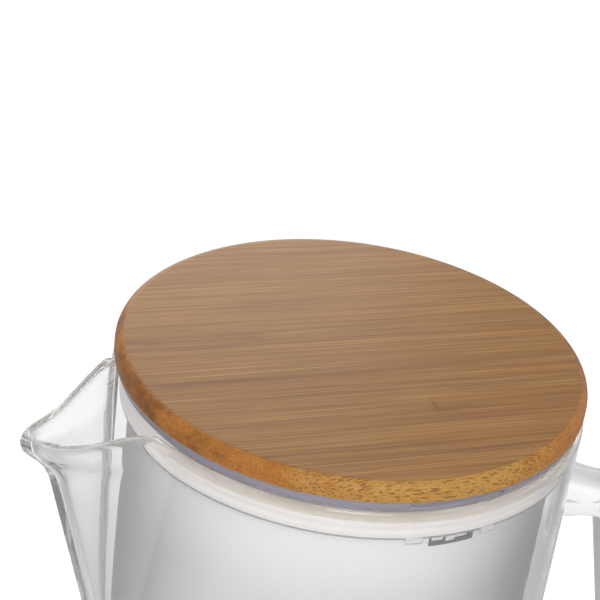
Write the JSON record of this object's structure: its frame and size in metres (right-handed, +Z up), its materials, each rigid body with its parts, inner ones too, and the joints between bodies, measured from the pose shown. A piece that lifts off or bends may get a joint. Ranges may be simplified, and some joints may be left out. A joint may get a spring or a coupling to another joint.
{
  "type": "glass water filter pitcher",
  "caption": "Round glass pitcher with a drawn V spout and welded ear handle, a clear lift-out filter hopper with a cartridge, and a flat bamboo disc lid.",
  "frame": {"origin": "centre of the jug's flat foot, on the surface it stands on", "axes": "+Z up along the jug's axis, -X towards the spout, +X towards the handle"},
  "size_m": [0.2303, 0.138, 0.2352],
  "materials": {
    "clear_glass": "clear borosilicate glass, fire polished",
    "clear_plastic": "clear moulded plastic with a faint violet cast at its edges",
    "clear_silicone": "translucent moulded silicone",
    "translucent_plastic": "clear moulded plastic, lightly frosted",
    "grey_plastic": "dark grey moulded plastic",
    "bamboo": "sanded and oiled carbonised bamboo, satin",
    "liner_plastic": "white moulded plastic, satin",
    "steel": "stainless steel",
    "white_plastic": "white moulded plastic, satin",
    "grey_silicone": "grey silicone",
    "screen_felt": "white needled felt",
    "carbon": "granular activated carbon",
    "resin": "ion exchange resin beads"
  },
  "bodies": {
    "jug": {"glass_body": "clear_glass", "glass_handle": "clear_glass"},
    "hopper": {"collar_ring": "clear_plastic", "collar_seal": "clear_silicone", "hopper_bucket": "translucent_plastic", "bucket_clips": "grey_plastic"},
    "lid": {"bamboo_disc": "bamboo", "lid_liner": "liner_plastic", "lid_seal": "clear_silicone", "lid_screws": "steel"},
    "cartridge": {"cartridge_shell": "white_plastic", "cartridge_cap": "white_plastic", "cartridge_gasket": "grey_silicone", "outlet_screen": "screen_felt", "carbon_bed": "carbon", "felt_separator": "screen_felt", "resin_bed": "resin", "inlet_screen": "screen_felt"}
  },
  "joints": [
    {"name": "hopper_lift", "type": "slide", "parent": "jug", "child": "hopper", "axis": [0, 0, 1], "range_m": [0, 0.16]},
    {"name": "lid_lift", "type": "slide", "parent": "hopper", "child": "lid", "axis": [0, 0, 1], "range_m": [0, 0.06]},
    {"name": "cartridge_lift", "type": "slide", "parent": "hopper", "child": "cartridge", "axis": [0, 0, 1], "range_m": [0, 0.05]}
  ]
}
